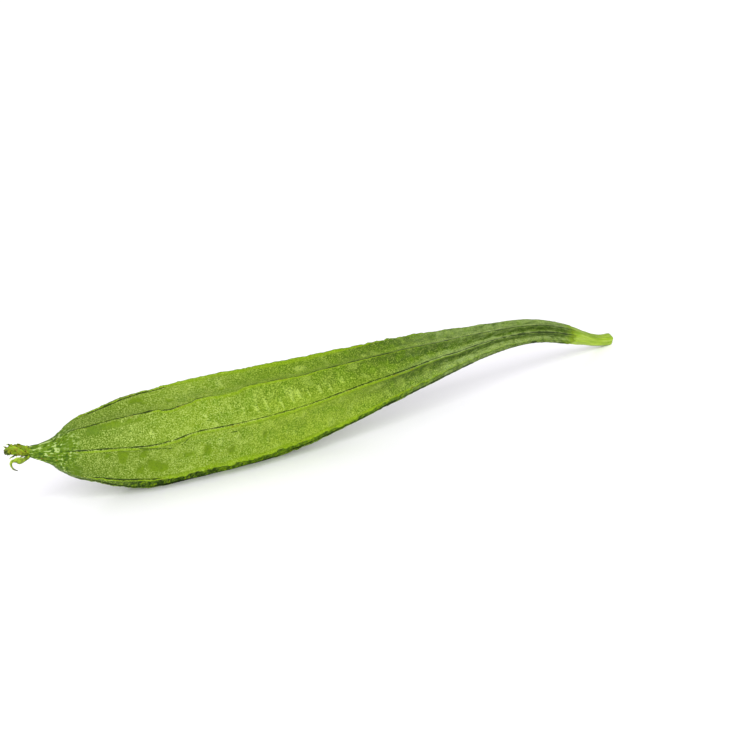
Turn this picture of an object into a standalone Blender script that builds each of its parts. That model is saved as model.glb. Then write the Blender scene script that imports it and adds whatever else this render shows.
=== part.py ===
"""Ridge gourd, lying on its belly.

A long green fruit with ten sharp ridges. It is fattest near its blossom end, tapers to a thin
neck that arches over and droops, and ends there in a short cut stem. The blossom end is a
nipple with the withered flower still on it, and one curled sepal hangs from the flower's foot.

The fruit lies along X with its blossom end at -X. It rests on two ridges of its belly and on
the cut end of its stem. The origin is at that level, under the middle of the bounding box.
Lengths below are in millimetres and angles in degrees. The meshes are made in metres.
"""

import bmesh
import bpy
import numpy as np

MM = 0.001
SEAT_GAP = 0.3      # clearance between a piece and the piece that it is seated in
SHARP_ANGLE = 38.0  # edges that turn by more than this are shaded sharp

# Core line of the fruit: x, y, z of the middle of a section, and the radius to its crests.
FRUIT_STATIONS = [
    (-172.0, -13.7, 30.2, 3.3),
    (-162.5, -13.7, 28.0, 6.9),
    (-155.5, -13.7, 26.8, 12.0),
    (-145.0, -13.7, 26.0, 16.5),
    (-127.0, -13.7, 24.2, 22.1),
    (-101.0, -13.7, 23.2, 24.5),
    (-66.0, -13.7, 23.2, 24.7),
    (-31.0, -13.4, 24.6, 22.4),
    (6.0, -11.2, 27.2, 18.2),
    (44.0, -6.2, 29.0, 13.9),
    (85.0, 2.8, 28.6, 9.0),
    (127.0, 14.8, 23.4, 6.4),
    (154.0, 24.3, 13.6, 5.3),
]
FRUIT_RINGS = 54
RING_CROWDING = 1.15  # above 1 the rings stand closer towards the nipple

# Where the ridges stand, turning from the top over the front. Ridges 5 and 6 carry the fruit.
RIDGE_ANGLES = [1.0, 43.0, 81.0, 129.0, 163.5, 196.5, 228.0, 261.0, 292.0, 325.0]
CREST_WIDTH = 1.2
CREST_WANDER = 1.2          # how far a crest strays from its angle
WANDER_LENGTH = 17.0        # length over which the stray's sine turns by one radian
WANDER_PHASE = 1.9          # how far the stray of one ridge is out of step with the last
PANEL_STEPS = (0.2, 0.4, 0.6, 0.8)  # points across the hollow between two crests
PANEL_ROUNDNESS = 2.2       # 2 is a parabola, more is a flatter floor with steeper sides
OPENING_ANGLE = 20.0        # how far the front panels spread towards the nipple
OPENING_CENTRE = 81.0
OPENING_LENGTH = 26.0

# Depth of the hollows as a share of the radius, against the distance from the nipple's end.
HOLLOW_DEPTH = [(0, 0.0), (8, 0.02), (20, 0.06), (45, 0.095), (110, 0.105), (180, 0.13),
                (240, 0.16), (300, 0.17), (345, 0.10)]

# Sockets in the two ends of the fruit, and the plugs of what is seated in them.
TIP_SOCKET_RADIUS = 2.1
TIP_SOCKET_DEPTH = 2.5
NECK_SOCKET_RADIUS = 3.2
NECK_SOCKET_DEPTH = 5.0

# Stem: where its cut end lies, which way it points there, and its radius along its length.
STEM_END = (184.8, 35.0, 3.0)
STEM_END_DIRECTION = (0.94, 0.33, -0.08)
STEM_RADII = [(0.0, 5.4), (3.0, 5.1), (8.0, 4.1), (14.0, 3.6), (24.0, 3.3), (32.0, 3.3)]
STEM_RINGS = 14
STEM_COLUMNS = 30
STEM_RIBS = 5
STEM_RIB_SHARE = 0.05
STEM_BEVEL = 0.4

# Blossom stub: its core line beyond the nipple, with radii, and how it is crumpled.
STUB_STATIONS = [
    (-172.4, -13.7, 30.3, 2.4),
    (-174.4, -13.7, 30.8, 2.5),
    (-177.3, -13.6, 32.0, 2.9),
    (-181.0, -13.5, 33.2, 2.8),
    (-184.0, -13.6, 33.6, 2.0),
    (-186.0, -13.8, 33.3, 1.0),
]
STUB_RINGS = 14
STUB_COLUMNS = 20
STUB_FOLDS = 5
STUB_FOLD_SHARE = 0.13
STUB_TWIST = 6.0            # degrees of turn of the folds for each millimetre

# Curled sepal: its middle line with half its width. Its root is seated in the stub's foot.
SEPAL_STATIONS = [
    (-174.2, -14.0, 30.4, 0.8),
    (-175.2, -15.2, 28.4, 0.9),
    (-177.2, -16.0, 27.6, 1.1),
    (-179.6, -16.0, 27.9, 1.3),
    (-181.8, -15.8, 28.4, 1.2),
    (-183.6, -15.6, 27.6, 0.9),
    (-183.9, -15.5, 25.6, 0.7),
    (-183.0, -15.6, 24.1, 0.6),
    (-181.4, -15.8, 23.1, 0.45),
]
SEPAL_HALF_THICKNESS = 0.42
SEPAL_RINGS = 22
SEPAL_COLUMNS = 10
SLOT_RINGS = 5

RIND_COLOUR = (0.21, 0.35, 0.045)
STEM_COLOUR = (0.32, 0.46, 0.05)
STUB_COLOUR = (0.14, 0.17, 0.02)
SEPAL_COLOUR = (0.42, 0.56, 0.14)


def clear_scene():
    """Removes whatever the file held before."""
    for item in list(bpy.data.objects):
        bpy.data.objects.remove(item, do_unlink=True)


def spline(knots, values, at):
    """Natural cubic through the values: smooth everywhere, with no bend at its two ends."""
    knots = np.asarray(knots, float)
    values = np.asarray(values, float).reshape(len(knots), -1)
    step = np.diff(knots)
    matrix = np.eye(len(knots))
    bend = np.zeros_like(values)
    for i in range(1, len(knots) - 1):
        matrix[i, i - 1:i + 2] = (step[i - 1], 2 * (step[i - 1] + step[i]), step[i])
        rise = (values[i + 1] - values[i]) / step[i]
        fall = (values[i] - values[i - 1]) / step[i - 1]
        bend[i] = 6 * (rise - fall)
    bend = np.linalg.solve(matrix, bend)
    at = np.asarray(at, float)
    k = np.clip(np.searchsorted(knots, at) - 1, 0, len(step) - 1)
    width = step[k][:, None]
    left = (knots[k + 1] - at)[:, None]
    right = (at - knots[k])[:, None]
    curve = (bend[k] * left ** 3 + bend[k + 1] * right ** 3) / (6 * width)
    curve += (values[k] / width - bend[k] * width / 6) * left
    curve += (values[k + 1] / width - bend[k + 1] * width / 6) * right
    return curve


def follow(stations, count, crowding=1.0):
    """Points and radii at even distances, or closer at the start if the crowding is above 1."""
    stations = np.array(stations, float)
    legs = np.linalg.norm(np.diff(stations[:, :3], axis=0), axis=1)
    knots = np.concatenate(([0.0], np.cumsum(legs)))
    distance = knots[-1] * np.linspace(0.0, 1.0, count) ** crowding
    curve = spline(knots, stations, distance)
    return distance, curve[:, :3], curve[:, 3]


def section_axes(points):
    """Unit vectors along a line, level across it and upwards, at every point of it."""
    along = np.gradient(points, axis=0)
    along /= np.linalg.norm(along, axis=1)[:, None]
    across = np.cross(along, (0.0, 0.0, 1.0))
    across /= np.linalg.norm(across, axis=1)[:, None]
    return along, across, np.cross(across, along)


def sections(points, axes, angles, radii):
    """Rings of points round a line, at angles that turn from the top over the across side."""
    _, across, upwards = axes
    turn = np.radians(angles)[..., None]
    arms = np.cos(turn) * upwards[:, None] + np.sin(turn) * across[:, None]
    return points[:, None] + radii[..., None] * arms


def make_piece(name, rings, colour, roughness):
    """A closed skin: quads from ring to ring, and a flat cap on the first and the last."""
    skin = bmesh.new()
    loops = [[skin.verts.new(point * MM) for point in ring] for ring in rings]
    for lower, upper in zip(loops, loops[1:]):
        for j, corner in enumerate(lower):
            following = (j + 1) % len(lower)
            skin.faces.new((corner, lower[following], upper[following], upper[j]))
    skin.faces.new(loops[0][::-1])
    skin.faces.new(loops[-1])
    bmesh.ops.recalc_face_normals(skin, faces=skin.faces)
    mesh = bpy.data.meshes.new(name)
    skin.to_mesh(mesh)
    skin.free()
    mesh.shade_smooth()
    mesh.set_sharp_from_angle(angle=np.radians(SHARP_ANGLE))
    mesh.materials.append(plain_material(name, colour, roughness))
    piece = bpy.data.objects.new(name, mesh)
    bpy.context.collection.objects.link(piece)
    return piece


def plain_material(name, colour, roughness):
    """One even finish for a piece."""
    material = bpy.data.materials.new(name)
    material.use_nodes = True
    shader = material.node_tree.nodes["Principled BSDF"]
    shader.inputs["Base Color"].default_value = (*colour, 1.0)
    shader.inputs["Roughness"].default_value = roughness
    shader.inputs["Metallic"].default_value = 0.0
    return material


def press_flat(rings):
    """What would reach below the surface is pressed flat on it."""
    for ring in rings:
        ring[:, 2] = np.maximum(ring[:, 2], 0.0)


def crest_angles(distance):
    """The angle of every ridge at every distance from the nipple's end."""
    angles = np.array(RIDGE_ANGLES)[None, :]
    along = distance[:, None]
    stray = np.sin(along / WANDER_LENGTH + WANDER_PHASE * np.arange(len(RIDGE_ANGLES)))
    opening = OPENING_ANGLE * np.exp(-(along / OPENING_LENGTH) ** 2)
    spread = opening * np.sin(np.radians(angles - OPENING_CENTRE))
    return angles + CREST_WANDER * stray + spread


def rind_outline(distance, radius):
    """Angles and radii round every section.

    Each ridge has two corners, a crest's width apart. From one crest to the next the radius
    dips by the hollow's depth times 1 - |2t - 1| ^ roundness, with t running across the panel.
    """
    depth = spline(*zip(*HOLLOW_DEPTH), distance)[:, 0]
    crests = crest_angles(distance)
    half_crest = np.degrees(CREST_WIDTH / 2 / radius)[:, None]
    following = np.roll(crests, -1, axis=1)
    following[:, -1] += 360.0
    columns = []
    radii = []
    columns.append(crests - half_crest)
    radii.append(np.repeat(radius[:, None], crests.shape[1], axis=1))
    columns.append(crests + half_crest)
    radii.append(radii[0])
    for t in PANEL_STEPS:
        start = crests + half_crest
        columns.append(start + t * (following - half_crest - start))
        dip = depth * (1 - abs(2 * t - 1) ** PANEL_ROUNDNESS)
        radii.append(np.repeat((radius * (1 - dip))[:, None], crests.shape[1], axis=1))
    rows = len(distance)
    return np.stack(columns, axis=2).reshape(rows, -1), np.stack(radii, axis=2).reshape(rows, -1)


def shrunk(ring, centre, size):
    """The ring's directions, drawn in to a circle of the given radius about the centre."""
    arms = ring - centre
    return centre + arms * (size / np.linalg.norm(arms, axis=1))[:, None]


def make_fruit():
    """The ridged rind, with a round socket in each end."""
    distance, points, radius = follow(FRUIT_STATIONS, FRUIT_RINGS, RING_CROWDING)
    axes = section_axes(points)
    rings = list(sections(points, axes, *rind_outline(distance, radius)))
    press_flat(rings)
    tip_mouth = shrunk(rings[0], points[0], TIP_SOCKET_RADIUS)
    tip_floor = tip_mouth + TIP_SOCKET_DEPTH * axes[0][0]
    neck_mouth = shrunk(rings[-1], points[-1], NECK_SOCKET_RADIUS)
    neck_floor = neck_mouth - NECK_SOCKET_DEPTH * axes[0][-1]
    rings = [tip_floor, tip_mouth] + rings + [neck_mouth, neck_floor]
    make_piece("fruit", rings, RIND_COLOUR, 0.45)
    return points, axes[0]


def make_stem(neck_end, neck_direction):
    """The stem, from a plug in the neck's socket to the cut end that lies on the surface.

    Its line is a cubic that leaves the neck in the neck's own direction. Ribs run along it.
    """
    end = np.array(STEM_END)
    end_direction = np.array(STEM_END_DIRECTION) / np.linalg.norm(STEM_END_DIRECTION)
    start = neck_end + SEAT_GAP * neck_direction
    length = np.linalg.norm(end - start)
    t = np.linspace(0.0, 1.0, STEM_RINGS)[:, None]
    line = (2 * t ** 3 - 3 * t ** 2 + 1) * start + (3 * t ** 2 - 2 * t ** 3) * end
    line += (t ** 3 - 2 * t ** 2 + t) * length * neck_direction
    line += (t ** 3 - t ** 2) * length * end_direction
    steps = np.linalg.norm(np.diff(line, axis=0), axis=1)
    distance = np.concatenate(([0.0], np.cumsum(steps)))
    radius = spline(*zip(*STEM_RADII), distance)
    angles = np.arange(STEM_COLUMNS) * 360.0 / STEM_COLUMNS
    ribs = 1 + STEM_RIB_SHARE * np.cos(np.radians(STEM_RIBS * angles))
    axes = section_axes(line)
    rings = list(sections(line, axes, np.tile(angles, (STEM_RINGS, 1)), radius * ribs))
    root = shrunk(rings[0], line[0], NECK_SOCKET_RADIUS - SEAT_GAP)
    root_end = root - NECK_SOCKET_DEPTH * axes[0][0]
    narrowing = 1 - STEM_BEVEL / radius[-1]
    cut_face = line[-1] + (rings[-1] - line[-1]) * narrowing + STEM_BEVEL * axes[0][-1]
    press_flat(rings)
    rings = [root_end, root] + rings + [cut_face]
    make_piece("stem", rings, STEM_COLOUR, 0.5)


def make_blossom_stub(tip, tip_direction):
    """The crumpled flower remains, on a plug in the nipple's socket, with a slot for the sepal."""
    distance, line, radius = follow(STUB_STATIONS, STUB_RINGS)
    angles = np.arange(STUB_COLUMNS) * 360.0 / STUB_COLUMNS
    turned = angles + STUB_TWIST * distance[:, None]
    folds = 1 + STUB_FOLD_SHARE * np.cos(np.radians(STUB_FOLDS * turned))
    axes = section_axes(line)
    rings = list(sections(line, axes, np.tile(angles, (STUB_RINGS, 1)), radius[:, None] * folds))
    root = shrunk(rings[0], line[0], TIP_SOCKET_RADIUS - SEAT_GAP)
    root_end = root + TIP_SOCKET_DEPTH * tip_direction
    stub = make_piece("blossom_stub", [root_end, root] + rings, STUB_COLOUR, 0.8)
    slot = make_piece("sepal_slot", sepal_rings(SEAT_GAP)[:SLOT_RINGS], STUB_COLOUR, 0.8)
    slot.hide_render = True
    slot.display_type = "WIRE"
    cut = stub.modifiers.new("sepal_slot", "BOOLEAN")
    cut.operation = "DIFFERENCE"
    cut.object = slot


def sepal_rings(allowance):
    """Oval sections along the sepal's line, grown on every side by an allowance."""
    _, line, half_width = follow(SEPAL_STATIONS, SEPAL_RINGS)
    along = np.gradient(line, axis=0)
    along /= np.linalg.norm(along, axis=1)[:, None]
    facing = np.cross(along, np.cross((0.0, 1.0, 0.0), along))
    facing /= np.linalg.norm(facing, axis=1)[:, None]
    edgewise = np.cross(facing, along)
    line[0] -= allowance * along[0]
    turn = np.radians(np.arange(SEPAL_COLUMNS) * 360.0 / SEPAL_COLUMNS)[None, :, None]
    wide = (half_width + allowance)[:, None, None] * np.cos(turn) * edgewise[:, None]
    thick = (SEPAL_HALF_THICKNESS + allowance) * np.sin(turn) * facing[:, None]
    return list(line[:, None] + wide + thick)


def make_curled_sepal():
    """One sepal that hangs from the stub's foot and curls back under it."""
    make_piece("curled_sepal", sepal_rings(0.0), SEPAL_COLOUR, 0.55)


clear_scene()
core, directions = make_fruit()
make_stem(core[-1], directions[-1])
make_blossom_stub(core[0], directions[0])
make_curled_sepal()
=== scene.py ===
"""Ridge gourd: the finish of its rind, stem and withered blossom, on a white table."""

import bpy
import numpy as np
from mathutils import Matrix, Vector


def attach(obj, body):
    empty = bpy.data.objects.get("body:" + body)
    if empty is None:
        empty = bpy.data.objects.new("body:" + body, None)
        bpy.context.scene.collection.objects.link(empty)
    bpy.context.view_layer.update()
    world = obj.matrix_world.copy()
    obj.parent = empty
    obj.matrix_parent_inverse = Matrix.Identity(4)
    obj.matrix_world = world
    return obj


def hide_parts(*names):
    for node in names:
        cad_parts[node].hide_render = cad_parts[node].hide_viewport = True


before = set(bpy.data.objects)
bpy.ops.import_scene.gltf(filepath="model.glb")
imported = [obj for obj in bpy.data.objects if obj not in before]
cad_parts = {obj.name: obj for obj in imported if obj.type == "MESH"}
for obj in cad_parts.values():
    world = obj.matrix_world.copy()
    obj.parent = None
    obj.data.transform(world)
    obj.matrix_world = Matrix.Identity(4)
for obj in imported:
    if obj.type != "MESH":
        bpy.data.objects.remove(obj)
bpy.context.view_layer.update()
scene = bpy.context.scene

# ----------
# The fruit. One grown body: a firm green rind over spongy flesh, with ten hard ridges that run
# from the nipple at the blossom end to the neck. The rind sinks in shallow hollows between them.

MM = 0.001

# Core line of the fruit: x, y, z of the middle of a section, and the radius to its crests.
FRUIT_STATIONS = [
    (-172, -13.7, 30.2, 3.3),
    (-162.5, -13.7, 28, 6.9),
    (-155.5, -13.7, 26.8, 12),
    (-145, -13.7, 26, 16.5),
    (-127, -13.7, 24.2, 22.1),
    (-101, -13.7, 23.2, 24.5),
    (-66, -13.7, 23.2, 24.7),
    (-31, -13.4, 24.6, 22.4),
    (6, -11.2, 27.2, 18.2),
    (44, -6.2, 29, 13.9),
    (85, 2.8, 28.6, 9),
    (127, 14.8, 23.4, 6.4),
    (154, 24.3, 13.6, 5.3),
]
FRUIT_RINGS = 405
RING_CROWDING = 1.1
PANEL_COLUMNS = 24
COLUMN_CROWDING = 2.8
RIDGE_ANGLES = np.array([1, 43, 81, 129, 163.5, 196.5, 228, 261, 292, 325])
# Which way each ridge leans: its lip hangs to the side of growing angle (1) or the other (-1).
RIDGE_LEANS = np.array([-1, 1, 1, 1, 1, -1, -1, -1, -1, -1])
# The ridges with a smaller number than this one face the front.
FIRST_BACK_RIDGE = 5
CREST_WIDTH = 1.2
# How ridges without a path stray, in degrees, over how many millimetres.
CREST_WANDER = 1.2
WANDER_LENGTH = 17.0
WANDER_PHASE = 1.9
JOG_ANGLE = 1.1
JOG_LENGTH = 7.0
# How far the ridges open towards the nipple, away from which angle, and over what length.
OPENING_ANGLE = 20.0
OPENING_CENTRE = 81.0
OPENING_LENGTH = 26.0
PANEL_ROUNDNESS = 2.2
HOLLOW_DEPTH = [(0, 0), (8, 0.02), (20, 0.06), (45, 0.095), (110, 0.11), (180, 0.17),
                (240, 0.25), (300, 0.29), (345, 0.14)]

# How three of the ridges really run: distance from the nipple's end, and angle from the top.
RIDGE_PATHS = {
    1: [(0, 27), (15, 26), (19, 32), (24, 37.5), (38, 40), (50, 42.5), (60, 42.5), (62, 45.5),
        (66, 46.5), (72, 44.5), (78, 43), (80, 40.5), (88, 40.5), (92, 42.5), (103, 42),
        (107, 38.5), (118, 38.8), (130, 40.5), (142, 42), (148, 40.5), (170, 40.8), (190, 42.5),
        (208, 44), (222, 47), (245, 47), (270, 51), (300, 57), (345, 58)],
    2: [(0, 84), (18, 81), (28, 83.2), (40, 83.6), (50, 84.8), (58, 84.2), (66, 82.5),
        (72, 80), (78, 79), (88, 80), (100, 80.8), (130, 81.6), (150, 81), (165, 80.2),
        (180, 81), (195, 82.6), (212, 81.6), (222, 81.4), (232, 84), (246, 82.6), (262, 82.5),
        (280, 87), (295, 91), (310, 93)],
    3: [(0, 146), (22, 144), (30, 142), (38, 138), (46, 134.3), (54, 134), (62, 133),
        (66, 135.5), (74, 132), (84, 130), (90, 132.5), (100, 130), (115, 132.5), (120, 130.5),
        (130, 132.8), (142, 131), (146, 128), (152, 133), (160, 131.5), (172, 130), (182, 127.5),
        (192, 125), (202, 122), (216, 120), (240, 118), (262, 117), (272, 119), (282, 124),
        (300, 130), (345, 132)],
}

# How wide the dark line of four crests is along its way, in millimetres. The line is the crest's
# dark edge and partly painted shade in the groove over it; past 268 mm on the third crest it is
# widened by painted shade.
LINE_WIDTHS = {
    0: [(26, 0), (30, 0.3), (66, 0.3), (72, 0)],
    1: [(12, 0), (20, 0.35), (28, 0.42), (46, 0.5), (50, 0.8), (56, 0.8), (59, 0.2),
        (61, 0.55), (77, 0.45), (79, 0.1), (81, 0.45), (88, 0.45), (91, 0.03), (104, 0.03),
        (108, 0.38), (150, 0.4), (155, 0.6), (225, 0.6), (240, 0.35), (345, 0.2)],
    2: [(6, 0), (14, 0.25), (60, 0.26), (63, 0.03), (66, 0.34), (74, 0.22), (98, 0.24),
        (103, 0.14), (140, 0.16), (150, 0.22), (210, 0.24), (215, 0.1), (225, 0.22), (245, 0.24),
        (255, 0.15), (268, 0.3), (280, 0.45), (315, 0.45), (345, 0.3)],
    3: [(24, 0), (32, 0.4), (54, 0.4), (58, 0.05), (62, 0)],
}
USUAL_LINE_WIDTH = 0.35
# How far the bright lip of four crests reaches, and the side it is on: growing angle is 1.
LIP_WIDTHS = {
    0: [(0, 0), (26, 0.4), (70, 1), (80, 1.8), (150, 1.9), (190, 0.4), (345, 0.2)],
    1: [(50, 0), (58, 0.7), (64, 1), (80, 0.9), (92, 1.2), (106, 1.2), (128, 0.8),
        (150, 0.5), (200, 0.2)],
    2: [(0, 0), (16, 0.4), (30, 0.7), (58, 0.8), (68, 1.2), (90, 1), (112, 1.5), (165, 1.5),
        (185, 0.8), (210, 0.3), (345, 0.2)],
    3: [(0, 0), (36, 0.6), (58, 1.4), (66, 2), (120, 1.8), (165, 1.1), (195, 0.6), (345, 0.5)],
}
USUAL_LIP_WIDTH = 1.4
LIP_SIDES = np.array([1, 1, 1, -1, 1, -1, -1, -1, -1, -1])
# Thin dark side lines on the third crest: distance and angle of both ends.
SIDE_LINES = [(46, 84.2, 63, 91.5), (67.5, 90, 73, 80.5), (79.5, 86, 97, 88)]
SIDE_LINE_WIDTH = 0.35
SIDE_LINE_RADIUS = 24.0
# The ridge with the strip of hollow under it, which is painted dark as shade.
STRIP_RIDGE = 3

# Relief on a crest in millimetres: its height, its way below the crest's middle, and its width.
# It shrinks where the fruit is thinner than the full radius.
CREST_THREAD = (0.44, 0.25, 0.6)
CREST_TRENCH = (0.2, 1.7, 0.5)
CREST_GROOVE = (0.4, -0.8, 0.36)
FULL_RADIUS = 15.0
# Relief in the hollows and on the nipple in millimetres; the neck's rib is a share of the radius.
FOLD_HEIGHT = 0.42
SWELL_HEIGHT = 0.34
DENT_DEPTH = 0.4
PUCKER_HEIGHT = 0.45
NECK_RIB_SHARE = 0.085
NIPPLE_LINE_HEIGHT = 0.22
WART_HEIGHT = 0.26
# The nipple's tip: over what length it is drawn out, how far, and how much thinner it gets.
NIPPLE_TIP = 5.0
NIPPLE_REACH = 2.4
NIPPLE_THINNING = 0.8
# The rind's edge over the stem: how far before the end it lies, how far it strays, and its drop.
EDGE_SETBACK = 2.2
EDGE_STRAY = 0.9
EDGE_DROP = 0.6
NOISE_ROWS = 512


def spline(knots, values, at):
    """Natural cubic through the values: smooth everywhere, with no bend at its two ends."""
    knots = np.asarray(knots, float)
    values = np.asarray(values, float).reshape(len(knots), -1)
    step = np.diff(knots)
    slopes = np.diff(values, axis=0) / step[:, None]
    bend = np.zeros_like(values)
    bend[1:-1] = 6 * np.diff(slopes, axis=0)
    matrix = np.eye(len(knots))
    for i in range(1, len(knots) - 1):
        matrix[i, i - 1:i + 2] = (step[i - 1], 2 * (step[i - 1] + step[i]), step[i])
    bend = np.linalg.solve(matrix, bend)
    at = np.asarray(at, float)
    k = np.clip(np.searchsorted(knots, at) - 1, 0, len(step) - 1)
    width = step[k][:, None]
    left = (knots[k + 1] - at)[:, None]
    right = (at - knots[k])[:, None]
    curve = (bend[k] * left ** 3 + bend[k + 1] * right ** 3) / (6 * width)
    curve += (values[k] / width - bend[k] * width / 6) * left
    curve += (values[k + 1] / width - bend[k + 1] * width / 6) * right
    return curve


def follow(stations, count, crowding=1):
    """Distance along, point and radius, at even steps or closer at the start for crowding > 1."""
    stations = np.array(stations, float)
    legs = np.linalg.norm(np.diff(stations[:, :3], axis=0), axis=1)
    knots = np.concatenate(([0], np.cumsum(legs)))
    distance = knots[-1] * np.linspace(0, 1, count) ** crowding
    curve = spline(knots, stations, distance)
    return distance, curve[:, :3], curve[:, 3]


def unit(vectors):
    """Each vector over its own length."""
    return vectors / np.linalg.norm(vectors, axis=1)[:, None]


def section_axes(points):
    """Unit vectors along a line, level across it and upwards, at every point of it."""
    along = unit(np.gradient(points, axis=0))
    across = unit(np.cross(along, (0, 0, 1)))
    return along, across, np.cross(across, along)


def sections(points, axes, angles, radii):
    """Rings of points round a line, at angles that turn from the top over the across side."""
    _, across, upwards = axes
    turn = np.radians(angles)[..., None]
    arms = np.cos(turn) * upwards[:, None] + np.sin(turn) * across[:, None]
    return points[:, None] + radii[..., None] * arms


def cloud(x, turn, cells, seed):
    """Smooth noise from -1 to 1: random heights on a lattice, blended by a quintic step.

    x runs along in lattice cells, turn runs round from 0 to 1 and closes after that many cells.
    """
    heights = np.random.default_rng(seed).uniform(-1, 1, (NOISE_ROWS, cells))
    y = turn * cells
    i, j = np.floor(x).astype(int), np.floor(y).astype(int)
    u, v = (t ** 3 * (t * (6 * t - 15) + 10) for t in (x - i, y - j))
    here, there = i % NOISE_ROWS, (i + 1) % NOISE_ROWS
    near, far = j % cells, (j + 1) % cells
    low = heights[here, near] * (1 - u) + heights[there, near] * u
    high = heights[here, far] * (1 - u) + heights[there, far] * u
    return low * (1 - v) + high * v


def bell(x, width):
    """A smooth hump of height 1 about 0: exp(-(x / width) ^ 2)."""
    return np.exp(-(x / width) ** 2)


def ramp(x, low, high):
    """0 below low, 1 above high, and a smooth step between them."""
    t = np.clip((x - low) / (high - low), 0, 1)
    return t * t * (3 - 2 * t)


def ridge_noise(distance, length, seed):
    """Noise along every ridge, with features of that length."""
    count = len(RIDGE_ANGLES)
    return cloud(distance[:, None] / length, np.arange(count) / count, count, seed)


def crest_angles(distance):
    """The angle of every ridge at every distance from the nipple's end.

    It is the ridge's path where it has one. Otherwise it is its usual angle, plus a sine along
    the way, small jogs by noise, and an opening to the nipple that fades as a bell.
    """
    along = distance[:, None]
    stray = np.sin(along / WANDER_LENGTH + WANDER_PHASE * np.arange(len(RIDGE_ANGLES)))
    opening = OPENING_ANGLE * bell(along, OPENING_LENGTH)
    spread = opening * np.sin(np.radians(RIDGE_ANGLES - OPENING_CENTRE))
    crests = RIDGE_ANGLES + CREST_WANDER * stray + spread
    crests = crests + JOG_ANGLE * ridge_noise(distance, JOG_LENGTH, 2) * ramp(along, 20, 50)
    for ridge, path in RIDGE_PATHS.items():
        crests[:, ridge] = np.interp(distance, *zip(*path))
    return crests


def along_ridges(distance, paths, usual, seed):
    """A width for every ridge all along: its path's own, or the usual times 1 + 0.7 * noise."""
    widths = usual * (1 + 0.7 * ridge_noise(distance, 9, seed))
    for ridge, path in paths.items():
        widths[:, ridge] = np.interp(distance, *zip(*path))
    return widths


# Ovals on the belly: distance, angle, bend, half length along and half width round.
# First dark smooth dents, then light puckers across the hollows.
DENTS = [
    (14.5, 60, 0, 3, 3), (26.5, 45.5, 0, 3.6, 2.4), (34, 45.5, 0, 6, 1.4),
    (46, 47.5, 0, 7, 1.1), (31.6, 92, 0, 1.3, 1.7), (39.2, 95, 0, 2.5, 3.6),
    (48.3, 93, 0, 2.6, 2.4), (47.4, 117, 0, 2.2, 3), (54, 113, 0, 3.6, 4.2),
    (58.5, 117, 0, 2.4, 3), (62, 108, 0, 1.4, 1.3), (66.5, 107, 0, 1.2, 1.2),
    (72, 108, 0, 3, 2.2), (81.5, 107, 0, 2.2, 3.6), (94.5, 114.5, 0, 2.8, 2),
    (18.5, 130, 0, 2, 3.6), (55, 19, 0, 1.2, 1.8), (53, 11, 0, 4.5, 1.6), (69, 28, 0, 2.2, 1.3),
    (107, 66, 0, 1.2, 2.2), (96, 28, 0, 1.6, 1.2), (112.5, 104, 0, 1.8, 2.4),
]
PUCKERS = [
    (54.6, 67, 1.2, 0.9, 4), (82.8, 60, 0.5, 1, 1.8), (87.2, 73, 0.8, 1.2, 1.8),
    (91.5, 64, 1.6, 0.9, 4), (96.5, 58, 0.6, 1, 2), (102.2, 65, -1.8, 1.1, 4.4),
    (110.5, 67, 1.4, 1, 3.4), (115.6, 66, 0.6, 1, 4.4), (123.8, 68, 0.9, 1, 4.2),
    (130.5, 64, 0.8, 0.9, 3.8), (134.5, 61, 0.4, 0.8, 3), (139.8, 64, 0.6, 0.8, 3.6),
    (146.3, 63, 0.5, 1.1, 3.2), (152, 66, 0.6, 0.9, 3), (160, 60, 0.4, 1.2, 2.6),
    (78.8, 31, 1.2, 0.8, 2.6), (113.6, 109, 0.6, 0.9, 3.6), (124.2, 108, 0.6, 0.9, 3),
    (88, 96, 0.6, 1.6, 2.2), (97, 96, 0.6, 1.4, 2.4), (134.5, 30, 0.4, 0.8, 2.4),
]


def oval_marks(ovals, power, s, angle, radius):
    """The highest of the ovals, each exp(-(length share) ^ power - (width share) ^ 4).

    The width counts round the fruit by the shorter side. A bent oval curves along the fruit
    as a parabola of its width share.
    """
    mask = np.zeros(s.shape)
    for at, start, bend, half_length, half_width in ovals:
        off = np.radians((angle - start + 180) % 360 - 180) * radius
        curve = bend * (off / half_width) ** 2 - bend / 2
        oval = np.exp(-((s - at - curve) / half_length) ** power - (off / half_width) ** 4)
        mask = np.maximum(mask, oval)
    return mask


def side_line_marks(s, angle, radius):
    """A bell of the distance to the nearest of the straight side lines."""
    mask = np.zeros(s.shape)
    for s0, a0, s1, a1 in SIDE_LINES:
        u, v = s - s0, np.radians(angle - a0) * radius
        du, dv = s1 - s0, np.radians(a1 - a0) * SIDE_LINE_RADIUS
        t = np.clip((u * du + v * dv) / (du ** 2 + dv ** 2), 0, 1)
        mask = np.maximum(mask, bell(np.hypot(u - t * du, v - t * dv), SIDE_LINE_WIDTH))
    return mask


def add_object(name, data):
    """A new object that holds that data, in the scene."""
    added = bpy.data.objects.new(name, data)
    scene.collection.objects.link(added)
    return added


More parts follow.
